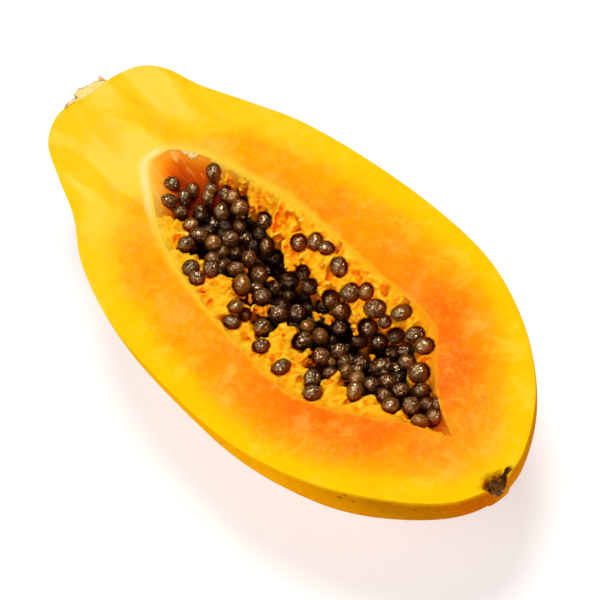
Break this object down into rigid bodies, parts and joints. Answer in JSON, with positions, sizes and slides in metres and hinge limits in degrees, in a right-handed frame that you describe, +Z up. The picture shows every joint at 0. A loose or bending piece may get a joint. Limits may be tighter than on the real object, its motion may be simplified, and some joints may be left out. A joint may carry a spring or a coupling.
{
  "type": "papaya half",
  "caption": "Ripe papaya half cut lengthwise, lying on its rounded skin with the cut face level: yellow-orange flesh, a pointed hollow lined with ragged pulp, and round dark seeds",
  "frame": {"origin": "middle of the half's outline, on the surface that it rests on", "axes": "+X runs along the cut from the stem end to the blossom end, +Y runs across the cut, and +Z is up out of the level cut face"},
  "size_m": [0.2848, 0.1238, 0.0623],
  "materials": {
    "flesh": "moist yellow-orange fruit flesh, smooth waxy skin outside",
    "seed_mass": "wet dark brown seeds on ragged yellow pulp"
  },
  "bodies": {
    "root": {"flesh": "flesh", "seed_mass": "seed_mass"}
  },
  "joints": []
}
